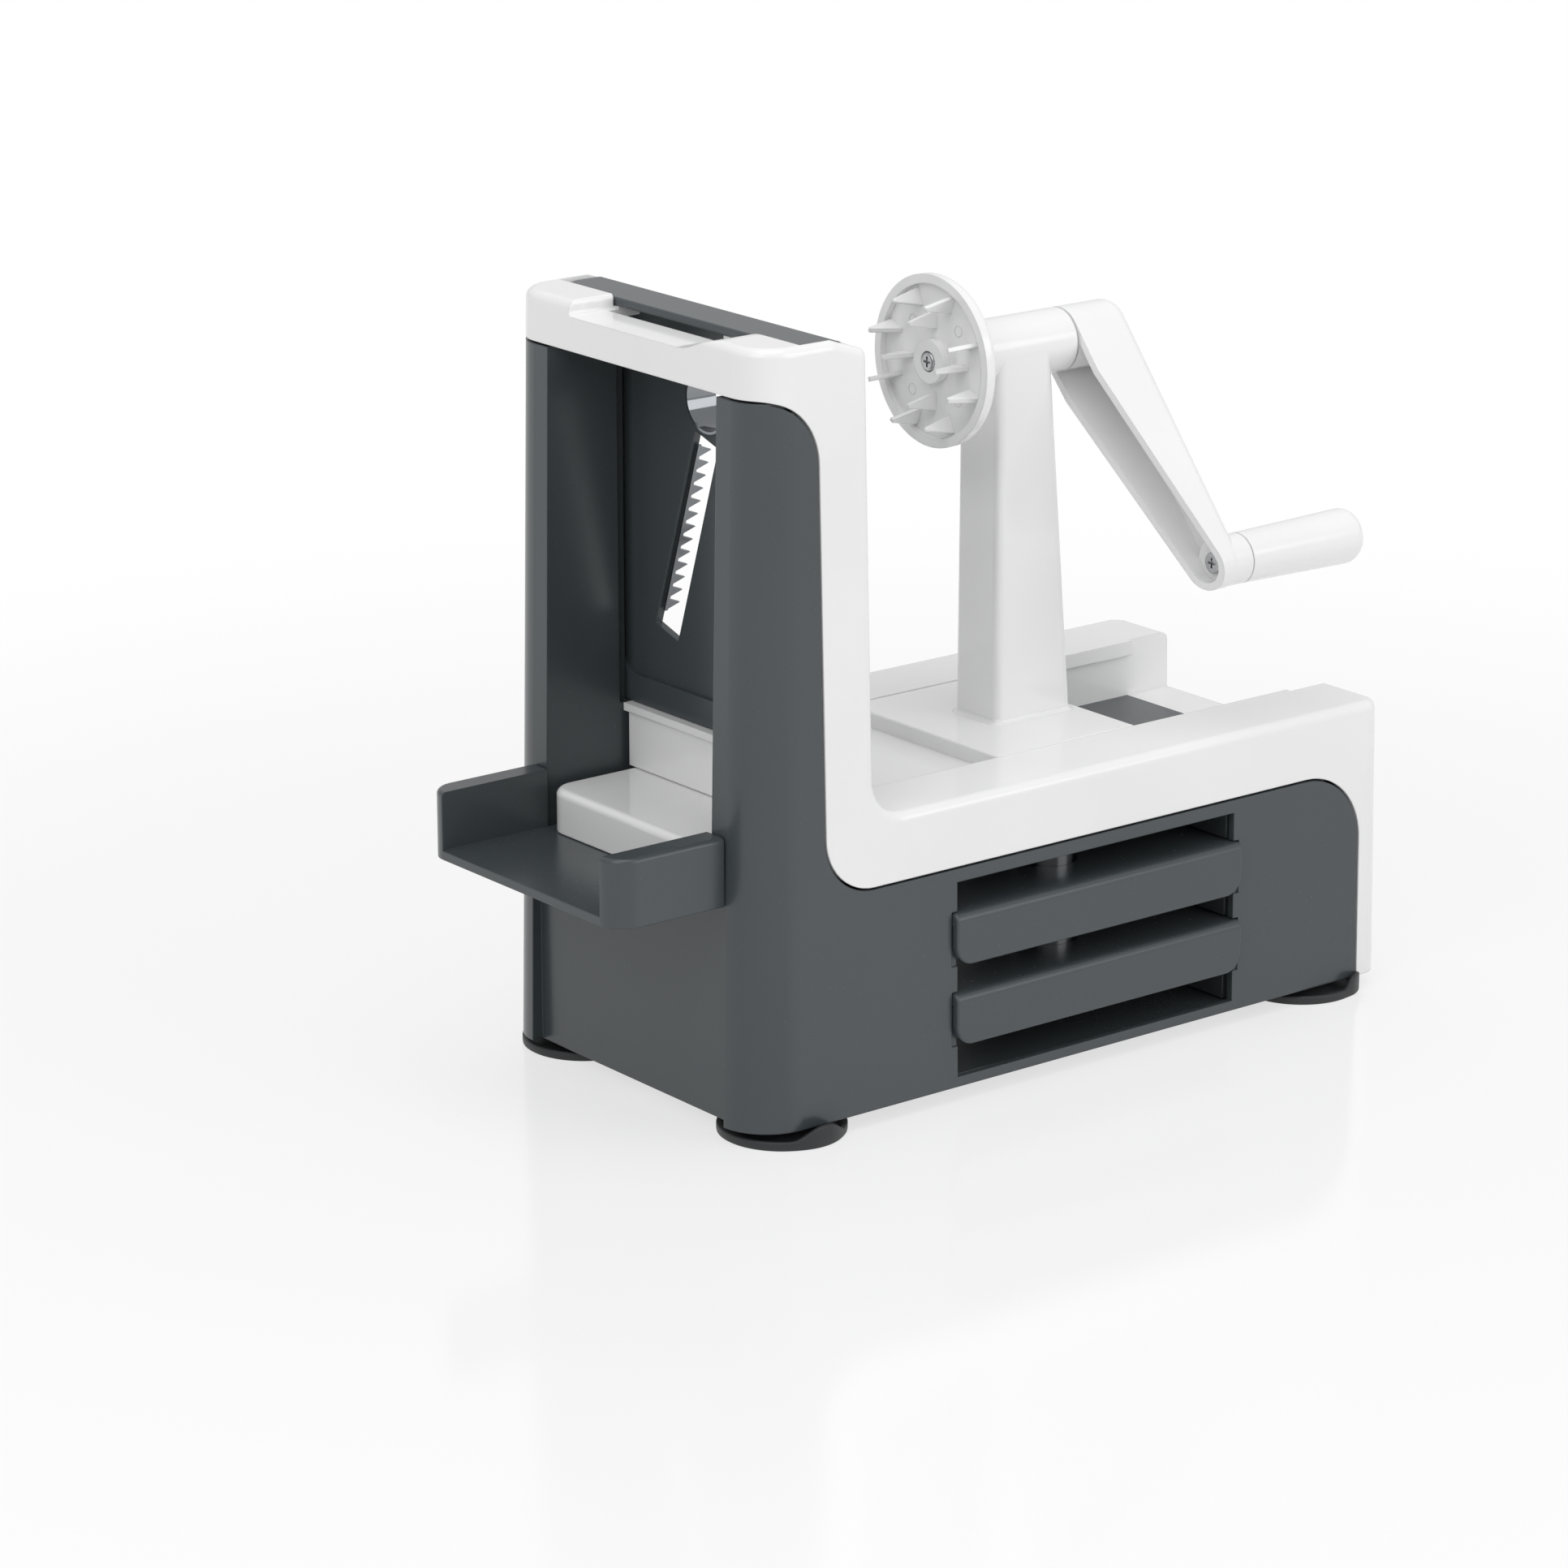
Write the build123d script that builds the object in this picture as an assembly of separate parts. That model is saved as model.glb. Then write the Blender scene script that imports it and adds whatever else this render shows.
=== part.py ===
from build123d import *
from math import atan2, cos, radians, sin, tan
import os

# Hand-cranked spiralizer, sizes in millimetres.
# +X runs from the outfeed tray to the crank, +Y to the far long side, +Z up from the table.
# The origin is on the table, in the middle of the plan outline.

# ---------------------------------------------------------------- fits
seat_gap = 0.3  # clearance at the seats of fixed and sliding pieces
running_gap = 0.05  # radial clearance of shafts in their bushes
press_gap = 0.02  # radial clearance where a bush or spindle is pushed in
seam_gap = 0.8  # dark line between the two shells of the housing

# ---------------------------------------------------------------- housing
foot_height = 5.0  # table to underside of the housing
body_length = 255.0  # front panel to the foot of the rear wall
body_width = 132.0  # across the housing at its underside
deck_height = 92.0  # underside to the deck that the carriage slides in
draft = 1.0  # degrees that every outer wall leans inwards
pillar_proud = 4.0  # the pillars stand in front of the panel
wall = 2.5  # moulded wall
front_corner = 17.0  # plan radius of the front corners
rear_corner = 8.0  # plan radius of the rear corners
tower_depth = 42.6  # front panel to the rear face of the tower, at the deck
tower_lean = 0.66  # degrees that the rear face of the tower leans forward
tower_fillet = 12.0  # where the tower rises from the deck
edge_round = 3.0  # softened outer edges of the white frame
top_level = 28.0  # front panel to where the top of the tower starts to fall to the rear
top_fall = 4.2  # how far it falls to the rear face
band_height = 16.0  # white band round the top of the tower
strip_width = 19.6  # white strip down the rear of the tower side
band_drop = 21.8  # deck to the lower edge of the white side band
rear_strip = 12.0  # white strip down the rear end of the side
panel_top_round = 20.0  # upper rear corner of the dark pillar
frame_round = 19.0  # lower corner of the white strip
panel_rear_round = 23.0  # upper rear corner of the dark side panel

# ---------------------------------------------------------------- throat and tray
throat_width = 84.0  # between the pillars
pillar_wall_depth = 27.0  # front panel to the step in front of the blade plate
rear_opening = 100.0  # opening of the white frame behind the blade plate
panel_half = 49.3  # half width of the set-back front panel
tray_reach = 43.0  # tray in front of the panel
tray_half = 49.0  # half width over the tray walls
tray_wall = 8.5
tray_floor = 2.8
tray_height = 21.4  # over the tray wall
tray_corner = 8.5
tray_round = 1.5
scoop_near = 22.0  # flat part of the finger scoop, towards the near side
scoop_far = 30.0  # the same towards the far side
scoop_depth = 4.7
scoop_near_ramp = 20.0  # long soft ramp at the near end of the scoop
scoop_far_ramp = 2.5  # steep end at the far side
scoop_ledge = 14.4  # front wall left in front of the finger hole

# ---------------------------------------------------------------- carriage way
way_half = 39.5  # half width of the channel
lip_half = 37.5  # half width between the lips that hold the carriage down
lip_thickness = 4.9
way_depth = 19.3  # deck to the channel floor
lip_end_inset = 19.0  # end of the lips to the foot of the rear wall
sill_half = 40.0  # half width of the cross wall under the plate

# ---------------------------------------------------------------- blade plates
plate_width = 118.0
plate_height = 131.5
plate_thickness = 4.0
plate_stand = 15.5  # deck to the lower edge of the mounted plate
rim_depth = 16.8  # the rim that the fingers pull
rim_thickness = 2.4
rim_corner = 6.5
rim_round = 2.6  # soft edge between the rim and the food side
rim_edge = 0.8
rim_below_top = 1.0  # rim under the top of the tower
plate_face = 34.2  # front panel to the food side of the mounted plate
plate_recess = 1.4
plate_border = 9.0
ring_below_rim = 28.0  # rim to the middle of the coring ring and of the drive shaft
ring_diameter = 20.6
ring_wall = 0.8
ring_proud = 5.0
slot_angle = 17.6  # degrees of the blade slot from straight down
slot_start = 14.0  # from the drive axis
slot_length = 68.0
slot_width = 12.0
blade_thickness = 0.8
blade_width = 9.0
blade_tilt = 9.0  # degrees
comb_height = 4.2
comb_base = 1.2
fine_pitch = 4.5
coarse_pitch = 8.0

# ---------------------------------------------------------------- blade storage
bay_inset = 123.6  # middle of the bay to the foot of the rear wall
window_lip = 1.8  # each end of the window covers this much of the plates
window_low = 3.2  # above the underside
window_high = 66.0
upper_plate_level = 56.3  # underside to the food side of the stored plate
lower_plate_level = 30.5
rim_proud = 2.5  # stored rims stand out from the side panel
plate_gap = 0.4  # clearance of a plate in its grooves
runner_depth = 4.8

# ---------------------------------------------------------------- carriage and drive
plinth_front = 113.5  # front panel to the plinth, carriage as in use
plinth_length = 57.0
sled_front = -4.7  # front end of the sled from the front panel
sled_wall = 3.0
sled_corner = 8.0
sled_round = 2.4
column_front = 135.5
column_foot_length = 31.6
column_foot_width = 21.6
column_top_length = 22.0
column_top_width = 20.4
column_round = 3.0
barrel_diameter = 20.5
barrel_front = 120.7
seam_x = 168.0  # between the barrel and the crank
spin_gap = 0.4
shaft_diameter = 8.0
bush_diameter = 14.0
bush_length = 12.0
holder_diameter = 54.6
holder_rim = 3.0
holder_depth = 4.5
holder_web = 2.5
tooth_length = 11.0
tooth_base = 6.0
tooth_thickness = 1.4
outer_tooth_circle = 20.5
inner_tooth_circle = 13.0
spike_diameter = 9.0

# ---------------------------------------------------------------- crank
crank_radius = 85.3
crank_angle = 41.0  # degrees from straight down towards the near side
arm_depth = 23.0
arm_tip_depth = 8.0
arm_tip_radius = 8.4
arm_wall = 2.5
arm_round = 4.5
collar_diameter = 16.3
collar_length = 4.0
grip_length = 49.5
grip_end_diameter = 18.2
spindle_diameter = 8.0

# ---------------------------------------------------------------- feet and screws
foot_diameter = 41.0
foot_front = 17.5  # front panel to the middle of the front cups
foot_inset = 23.0  # foot of the rear wall to the middle of the rear cups
foot_side_inset = 15.5
neck_diameter = 8.0
screw_diameter = 3.0
screw_head = 6.0
screw_length = 12.0  # housing screws
column_screw_length = 16.0
post_diameter = 8.0
post_front_inset = 34.0
post_rear_inset = 42.0
post_side_inset = 12.0

# ---------------------------------------------------------------- places worked out
foot_radius = foot_diameter / 2
tower_height = deck_height + plate_stand + plate_height + rim_below_top
panel_x = (tray_reach - body_length) / 2
body_z = foot_height
deck_z = body_z + deck_height
tower_z = body_z + tower_height
rear_x = panel_x + body_length
front_x = panel_x - pillar_proud
half_width = body_width / 2
tower_rear_x = panel_x + tower_depth
band_z = deck_z - band_drop
grey_top_z = tower_z - band_height
band_ceiling_z = tower_z - scoop_depth - wall
way_z = deck_z - way_depth
lip_z = deck_z - lip_thickness
way_rear_x = rear_x - lip_end_inset
throat_half = throat_width / 2
tray_z = way_z - tray_floor
plate_x = panel_x + plate_face
slot_front_x = plate_x - plate_thickness - seat_gap
slot_rear_x = plate_x + plate_gap
rim_z = tower_z - rim_below_top
plate_foot_z = rim_z - plate_height
slot_half = plate_width / 2 + seat_gap
step_x = panel_x + pillar_wall_depth
bay_x = rear_x - bay_inset
window_length = plate_width - 2 * window_lip
axis_height = rim_z - ring_below_rim
sled_z = way_z + seat_gap
sled_top_z = lip_z - seat_gap
sled_half = way_half - seat_gap
sled_rear_x = panel_x + plinth_front + plinth_length
hub_x = panel_x + seam_x
arm_back_x = hub_x + arm_depth
collar_x = arm_back_x + collar_length
grip_y = -crank_radius * sin(radians(crank_angle))
grip_z = axis_height - crank_radius * cos(radians(crank_angle))
holder_x = panel_x + barrel_front - spin_gap  # rear face of the food holder
reach = 400.0  # longer than any piece, for through cuts


def block(x0, x1, y0, y1, z0, z1):
    """Box between two corners."""
    size = (x1 - x0, y1 - y0, z1 - z0)
    middle = ((x0 + x1) / 2, (y0 + y1) / 2, (z0 + z1) / 2)
    return Pos(*middle) * Box(*size)


def mid_block(x0, x1, half, z0, z1):
    """Box that is centred across the machine."""
    return block(x0, x1, -half, half, z0, z1)


def rod(x0, x1, diameter, y=0.0, z=axis_height):
    """Cylinder along X."""
    return Pos(x0, y, z) * Rot(0, 90, 0) * Cylinder(
        diameter / 2, x1 - x0, align=(Align.CENTER, Align.CENTER, Align.MIN)
    )


def post(x, y, z0, z1, diameter):
    """Cylinder along Z."""
    return Pos(x, y, z0) * Cylinder(
        diameter / 2, z1 - z0, align=(Align.CENTER, Align.CENTER, Align.MIN)
    )


# ---------------------------------------------------------------- housing shells
def envelope(inset):
    """Outside of the housing, moved inwards by the inset."""
    length = rear_x - front_x - 2 * inset
    middle = (rear_x + front_x) / 2
    plan = Rectangle(length, body_width - 2 * inset)
    front_points = plan.vertices().group_by(Axis.X)[0]
    plan = fillet(front_points, front_corner - inset)
    rear_points = plan.vertices().group_by(Axis.X)[-2:]
    rear_points = [v for group in rear_points for v in group if v.X > length / 2 - 0.1]
    plan = fillet(rear_points, rear_corner - inset)
    tapered = extrude(Pos(middle, 0, body_z) * plan, tower_height - inset, taper=draft)
    lean = tower_height - deck_height
    top_x = tower_rear_x - lean * tan(radians(tower_lean)) - inset
    outline = Polyline(
        (front_x - 5, body_z - 1),
        (rear_x + 5, body_z - 1),
        (rear_x + 5, deck_z - inset),
        (tower_rear_x - inset, deck_z - inset),
        (top_x, tower_z - top_fall - inset),
        (panel_x + top_level, tower_z - inset),
        (front_x - 5, tower_z - inset),
        close=True,
    )
    side = make_face(outline)
    corner = side.vertices().sort_by_distance((tower_rear_x - inset, deck_z - inset, 0))[0]
    side = fillet(corner, tower_fillet + inset)
    return tapered & extrude(Plane.XZ * side, reach, both=True)


def shell_split(gap):
    """Side outline of the dark housing, grown by the gap."""
    boundary_x = tower_rear_x - strip_width
    lean = (grey_top_z - band_z) * tan(radians(tower_lean))
    outline = make_face(
        Polyline(
            (front_x - reach, body_z - reach),
            (rear_x - rear_strip, body_z - reach),
            (rear_x - rear_strip, band_z),
            (boundary_x, band_z),
            (boundary_x - lean, grey_top_z),
            (front_x - reach, grey_top_z),
            close=True,
        )
    )
    targets = (
        ((rear_x - rear_strip, band_z), panel_rear_round),
        ((boundary_x, band_z), frame_round),
        ((boundary_x - lean, grey_top_z), panel_top_round),
    )
    for (x, z), radius in targets:
        corner = outline.vertices().sort_by_distance((x, z, 0))[0]
        outline = fillet(corner, radius)
    if gap:
        outline = offset(outline, gap)
    inside = mid_block(front_x - reach, slot_rear_x, slot_half + seat_gap, body_z - reach, grey_top_z)
    lining_x = rear_x - rear_strip - wall
    below = mid_block(front_x - reach, lining_x, half_width - wall - 2, body_z - reach, band_z)
    floor = mid_block(front_x - reach, way_rear_x, way_half, body_z - reach, way_z)
    return extrude(Plane.XZ * outline, reach, both=True) + inside + below + floor


def rounded_outside():
    """Housing outline with its soft outer edges."""
    body = envelope(0)
    flat = body.edges().filter_by(lambda e: e.bounding_box().min.Z > deck_z - 1)
    return fillet(flat, edge_round)


def housing():
    """The whole housing as one wall, before it is parted into its two shells."""
    hollow = envelope(wall)
    hollow -= mid_block(front_x, panel_x + wall, panel_half + wall, body_z - 1, band_z)
    hollow -= mid_block(front_x, step_x, throat_half + wall, band_z - wall, tower_z)
    hollow -= mid_block(front_x, rear_x, reach, band_z - wall, band_z)
    hollow -= mid_block(step_x - 1, rear_x, throat_half + wall, band_z - wall, tower_z)
    hollow -= mid_block(step_x, tower_rear_x + 1, reach, plate_foot_z - wall, tower_z)
    hollow -= mid_block(front_x, rear_x, reach, band_ceiling_z, tower_z)
    body = rounded_outside() - hollow
    body -= mid_block(front_x - 1, panel_x, panel_half, body_z - 1, tray_z)
    body -= mid_block(front_x - 1, panel_x + wall + 1, throat_half, tray_z, grey_top_z)
    body -= mid_block(panel_x + wall, step_x, throat_half, tray_z, band_ceiling_z)
    body -= mid_block(step_x - 1, tower_rear_x + 1, throat_half, way_z, plate_foot_z + 1)
    body -= mid_block(step_x - 1, slot_rear_x, throat_half + wall, plate_foot_z - seat_gap, tower_z + 1)
    body -= mid_block(slot_front_x, slot_rear_x, slot_half, plate_foot_z - seat_gap, tower_z + 1)
    rim_front = plate_x - rim_depth - plate_gap
    rim_low = rim_z - rim_thickness - seat_gap
    body -= mid_block(rim_front, slot_rear_x, slot_half, rim_low, tower_z + 1)
    body -= mid_block(plate_x, tower_rear_x + 5, rear_opening / 2, plate_foot_z - seat_gap, tower_z + 1)
    hole = (-scoop_near, scoop_far, band_ceiling_z - 1, tower_z + 1)
    body -= block(panel_x + scoop_ledge, slot_front_x + 1, *hole)
    body -= finger_scoop()
    body -= mid_block(step_x - 1, rear_x + 1, way_half, way_z, lip_z)
    rise = (deck_z - 1, plate_foot_z)
    body -= mid_block(step_x - 1, tower_rear_x + tower_fillet + 1, lip_half, *rise)
    body -= mid_block(step_x - 1, way_rear_x, lip_half, way_z, deck_z + 1)
    body -= mid_block(way_rear_x, rear_x + 1, way_half, way_z, deck_z + 1)
    return body


def finger_scoop():
    """Dip in the top band that lets a finger under the rim of the blade plate."""
    low = tower_z - scoop_depth
    near_end = -scoop_near - scoop_near_ramp
    far_end = scoop_far + scoop_far_ramp
    level = (1, 0)
    near_ramp = Spline((near_end, tower_z), (-scoop_near, low), tangents=(level, level))
    far_ramp = Spline((scoop_far, low), (far_end, tower_z), tangents=(level, level))
    flat = Line((-scoop_near, low), (scoop_far, low))
    top = tower_z + 2
    lid = Polyline((far_end, tower_z), (far_end, top), (near_end, top), (near_end, tower_z))
    face = make_face(near_ramp + flat + far_ramp + lid)
    dip = extrude(Plane.YZ * face, reach, both=True)
    return dip & mid_block(front_x - 1, plate_x - rim_depth - plate_gap + 1, reach, low - 1, tower_z + 3)


def screw_posts():
    """Posts that take the screws of the bottom plate."""
    places = post_places()
    posts = [post(x, y, body_z + wall + seat_gap, band_z - wall / 2, post_diameter) for x, y in places]
    return posts


def post_places():
    y = half_width - post_side_inset
    rows = (panel_x + post_front_inset, rear_x - post_rear_inset)
    return [(x, side * y) for x in rows for side in (-1, 1)]


def lower_housing(body):
    """Dark shell: side panels, pillars, front panel and the floor of the carriage way."""
    shell = body & shell_split(0)
    end_wall = mid_block(
        rear_x - rear_strip - 2 * wall,
        rear_x - rear_strip - wall,
        half_width - foot_side_inset - neck_diameter,
        body_z + wall + seat_gap,
        band_z - wall / 2,
    )
    shell = shell + end_wall
    for boss in screw_posts():
        shell += boss
    for x, y in post_places():
        shell -= post(x, y, body_z, band_z - 2 * wall, screw_diameter)
    window_half = window_length / 2
    shell -= block(bay_x - window_half, bay_x + window_half, -reach, reach, body_z + window_low, body_z + window_high)
    for level in (upper_plate_level, lower_plate_level):
        shell -= plate_groove(level, reach)
        shell -= rim_rebate(level)
    return shell


def plate_groove(level, half):
    """Room for the edges of a stored plate."""
    groove_half = plate_width / 2 + plate_gap
    top = body_z + level + plate_gap
    return block(bay_x - groove_half, bay_x + groove_half, -half, half, top - plate_thickness - 2 * plate_gap, top)


def rim_rebate(level):
    """Shallow seat round the rim of a stored plate, in the near side panel."""
    half = plate_width / 2 + plate_gap
    top = body_z + level + plate_gap
    low = top - rim_depth - 2 * plate_gap
    depth = rim_face_y(body_z + level) + rim_thickness + plate_gap
    return block(bay_x - half, bay_x + half, -reach, depth, low, top)


def upper_frame(body):
    """White shell: deck, lips, tower strip, top band and rear wall."""
    return body - shell_split(seam_gap)


# ---------------------------------------------------------------- base pieces
def bottom_plate():
    """Plate that closes the housing from below."""
    plate = envelope(wall + seat_gap) & mid_block(-reach, reach, reach, body_z, body_z + wall)
    plate -= mid_block(front_x - 1, panel_x + wall + seat_gap, reach, body_z - 1, body_z + wall + 1)
    for x, y in foot_places():
        plate -= post(x, y, body_z - 1, body_z + wall + 1, neck_diameter + 2 * running_gap)
    for x, y in post_places():
        plate -= post(x, y, body_z - 1, body_z + wall + 1, screw_diameter + 0.4)
        plate -= Pos(x, y, body_z) * Cone(
            screw_head / 2 + 0.2, screw_diameter / 2 + 0.2, 1.6, align=(Align.CENTER, Align.CENTER, Align.MIN)
        )
    return plate


def storage_runner(side):
    """Grooved runner at one end of the storage bay."""
    inner = window_length / 2
    low = body_z + wall + seat_gap
    high = band_z - wall - seat_gap
    half = half_width - wall - 2.2
    x_pair = sorted((bay_x + side * inner, bay_x + side * (inner + runner_depth)))
    runner = mid_block(x_pair[0], x_pair[1], half, low, high)
    for level in (upper_plate_level, lower_plate_level):
        runner -= plate_groove(level, reach)
    return runner


def outfeed_tray():
    """Open tray in front of the throat."""
    left = panel_x - tray_reach
    outer = Rectangle(2 * tray_reach, 2 * tray_half)
    corners = outer.vertices().group_by(Axis.X)[0]
    outer = fillet(corners, tray_corner)
    body = extrude(Pos(panel_x, 0, tray_z) * outer, tray_height)
    rear = front_x + (tray_z - body_z) * tan(radians(draft)) - seat_gap
    body &= mid_block(left - 1, rear, reach, tray_z - 1, tray_z + tray_height + 1)
    top_edges = body.edges().group_by(Axis.Z)[-1].filter_by(lambda e: e.center().X < rear - 1)
    body = fillet(top_edges, tray_round)
    body += mid_block(front_x - 1, step_x - 2 - 2 * seat_gap, throat_half - seat_gap, tray_z + seat_gap, way_z)
    inner = tray_half - tray_wall
    return body - mid_block(left - 1, panel_x + 1, inner, way_z, tray_z + tray_height + 5)


def blade_sill():
    """White cross wall that the mounted plate stands on; the sled runs under it."""
    front = step_x + 1.0
    top = plate_foot_z - seat_gap
    rear = tower_rear_x - (top - deck_z) * tan(radians(tower_lean))
    sill = mid_block(front, rear, sill_half, lip_z, top)
    sill += mid_block(front - 0.8, rear, throat_half - seat_gap, top - wall, top)
    return sill - mid_block(front + wall, rear - wall, sill_half - wall, lip_z - 1, top - wall)


def foot_places():
    y = half_width - foot_side_inset
    return [(x, side * y) for x in (panel_x + foot_front, rear_x - foot_inset) for side in (-1, 1)]


def suction_foot(x, y):
    """Rubber cup with its neck, its button head and its pull tab."""
    neck = neck_diameter / 2
    lift = foot_height
    profile = Polyline(
        (0, 1.9),
        (foot_radius - 1.3, 0),
        (foot_radius, 0),
        (foot_radius, 1.1),
        (foot_radius - 1.2, 2.0),
        (neck + 5, lift - seat_gap),
        (neck, lift - seat_gap),
        (neck, lift + wall + seat_gap),
        (neck + 1.4, lift + wall + seat_gap),
        (neck + 0.6, lift + wall + 3.2),
        (0, lift + wall + 3.6),
        close=True,
    )
    cup = revolve(Plane.XZ * make_face(profile), Axis.Z)
    inward = 1 if x < 0 else -1
    tab = block(foot_radius - 3, foot_radius + 4, -4.5, 4.5, 0.6, 1.9)
    tab = fillet(tab.edges().filter_by(Axis.Z).group_by(Axis.X)[-1], 3.5)
    if inward < 0:
        tab = tab.rotate(Axis.Z, 180)
    return Pos(x, y, 0) * (cup + tab)


def countersunk_screw(x, y, z, length):
    """Screw that is driven upwards, its head flush with z."""
    head = Cone(screw_head / 2, screw_diameter / 2 - 0.2, 1.5, align=(Align.CENTER, Align.CENTER, Align.MIN))
    shank = Cylinder(screw_diameter / 2 - 0.2, length, align=(Align.CENTER, Align.CENTER, Align.MIN))
    drive = Box(3.2, 0.7, 1.0) + Box(0.7, 3.2, 1.0)
    return Pos(x, y, z) * (head + shank - drive)


# ---------------------------------------------------------------- blade plates
def radial(distance, across, x):
    """Point of a plate, measured along and across its blade slot."""
    a = radians(slot_angle)
    y = distance * sin(a) - across * cos(a)
    z = -ring_below_rim - distance * cos(a) - across * sin(a)
    return (x, y, z)


def rim_face_y(z):
    """Outer face of the rim of a plate that is stored with its food side at z."""
    return (z - body_z) * tan(radians(draft)) - half_width - rim_proud


def slot_plane(distance, across, x):
    """Plane whose local X runs down the slot, local Y across it and local Z to the food."""
    start = Vector(*radial(distance, across, x))
    ahead = Vector(*radial(distance + 1, across, x))
    return Plane(origin=start, x_dir=ahead - start, z_dir=(1, 0, 0))


def plate_frame():
    """Moulded plate with its rim; the food side is X = 0 and the rim top is Z = 0."""
    half = plate_width / 2
    sheet = block(-plate_thickness, 0, -half, half, -plate_height, 0)
    sheet = fillet(sheet.edges().filter_by(Axis.X).group_by(Axis.Z)[0], 5.0)
    rim = block(-rim_depth, 0, -half, half, -rim_thickness, 0)
    rim = fillet(rim.edges().filter_by(Axis.Z).group_by(Axis.X)[0], rim_corner)
    frame = sheet + rim
    upper = frame.edges().filter_by(lambda e: e.bounding_box().min.Z > -0.01)
    food_edge = upper.group_by(Axis.X)[-1]
    frame = fillet(food_edge, rim_round)
    upper = frame.edges().filter_by(lambda e: e.bounding_box().min.Z > -0.01 and e.center().X < -rim_round - 0.1)
    frame = fillet(upper, rim_edge)
    inner_half = half - plate_border
    low = -plate_height + plate_border
    recess = block(-plate_thickness - 1, plate_recess - plate_thickness, -inner_half, inner_half, low, -12.0)
    frame -= fillet(recess.edges().filter_by(Axis.X), 12.0)
    hole = Pos(0, 0, -ring_below_rim) * Rot(0, 90, 0) * Cylinder(ring_diameter / 2 + press_gap, reach)
    frame -= hole
    slot = slot_plane(slot_start, 0, 0) * Pos(slot_length / 2, 0, 0) * Box(slot_length, slot_width, reach)
    return frame - slot


def coring_ring():
    """Thin steel tube with a ground edge that cuts the core free."""
    outer = ring_diameter / 2
    inner = outer - ring_wall
    back = -plate_thickness - 2.0
    profile = make_face(
        Polyline((back, inner), (back, outer), (ring_proud - 1.2, outer), (ring_proud, inner), close=True)
    )
    ring = revolve(profile, Axis.X)
    return Pos(0, 0, -ring_below_rim) * ring


def slicing_blade():
    """Steel blade along the slot, its ground edge just proud of the plate."""
    t = blade_thickness
    face = make_face(
        Polyline((0, 0), (blade_width - 1.8, 0), (blade_width, t), (0, t), close=True)
    )
    lying = slot_plane(slot_start + 1.0, slot_width / 2 + 3.2, 0.1)
    strip = extrude(Plane.YZ * face, slot_length - 2)
    turned = strip.rotate(Axis.X, blade_tilt)
    mirrored_strip = mirror(turned, about=Plane.XZ)
    return lying * mirrored_strip


def shred_comb(pitch):
    """Row of triangular teeth that score the food into strands."""
    count = int((slot_length - 6) / pitch)
    points = [(0, -comb_base), (0, 0)]
    for i in range(count):
        points += [(i * pitch + pitch * 0.12, 0), (i * pitch + pitch / 2, comb_height), (i * pitch + pitch * 0.88, 0)]
    points += [(count * pitch, 0), (count * pitch, -comb_base)]
    face = make_face(Polyline(*points, close=True))
    comb = extrude(Plane.XZ * face, blade_thickness / 2, both=True)
    start = slot_start + (slot_length - count * pitch) / 2
    return slot_plane(start, -slot_width / 2 + 1.0, 0) * comb


mounted_place = Pos(plate_x, 0, rim_z)


def stored_place(level):
    """Place of a plate that lies in the bay, food side up and rim at the near side."""
    z = body_z + level
    return Plane(origin=(bay_x, rim_face_y(z), z), x_dir=(0, 0, 1), z_dir=(0, -1, 0)).location


# ---------------------------------------------------------------- carriage
def carriage_sled():
    """Long slider that runs under the lips, with the plinth that shows between them."""
    front = panel_x + sled_front
    length = sled_rear_x - front
    plan = Rectangle(length, 2 * sled_half)
    plan = fillet(plan.vertices().group_by(Axis.X)[0], sled_corner)
    centre = (front + sled_rear_x) / 2
    body = extrude(Pos(centre, 0, sled_z) * plan, sled_top_z - sled_z)
    top_edges = body.edges().group_by(Axis.Z)[-1].filter_by(lambda e: e.center().X < sled_rear_x - 1)
    body = fillet(top_edges, sled_round)
    plinth_half = lip_half - seat_gap
    plinth = mid_block(sled_rear_x - plinth_length, sled_rear_x, plinth_half, sled_top_z - 1, deck_z)
    plinth = fillet(plinth.edges().group_by(Axis.Z)[-1], 0.8)
    body += plinth
    body -= mid_block(
        front + sled_wall, sled_rear_x - sled_wall, sled_half - sled_wall, sled_z - 1, sled_top_z - sled_wall
    )
    for x, y in column_screw_places():
        body += post(x, y, sled_z + 4.0, sled_top_z, post_diameter)
        body -= post(x, y, sled_z, deck_z + 1, screw_diameter + 0.4)
        body -= post(x, y, sled_z, sled_z + 5.8, screw_head + 0.6)
    return body


def column_screw_places():
    middle = panel_x + column_front + column_foot_length / 2
    return [(middle - 8.0, 0.0), (middle + 8.0, 0.0)]


def crank_column():
    """Tapered column that ends in the barrel of the drive shaft."""
    x0 = panel_x + column_front
    foot = Pos(x0 + column_foot_length / 2, 0, deck_z) * Rectangle(column_foot_length, column_foot_width)
    foot = fillet(foot.vertices(), column_round)
    top = Pos(x0 + column_top_length / 2, 0, axis_height) * Rectangle(column_top_length, column_top_width)
    top = fillet(top.vertices(), column_round)
    column = loft([foot, top], ruled=True)
    barrel_rear = hub_x - spin_gap
    barrel = rod(panel_x + barrel_front, barrel_rear, barrel_diameter)
    column += barrel
    column -= rod(panel_x + barrel_front - 1, hub_x + 1, shaft_diameter + 2.0)
    seat = bush_diameter + 2 * press_gap
    column -= rod(panel_x + barrel_front - 1, panel_x + barrel_front + bush_length, seat)
    column -= rod(barrel_rear - bush_length, hub_x + 1, seat)
    for x, y in column_screw_places():
        column -= post(x, y, deck_z - 1, deck_z + 14.0, screw_diameter)
    return column


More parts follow.
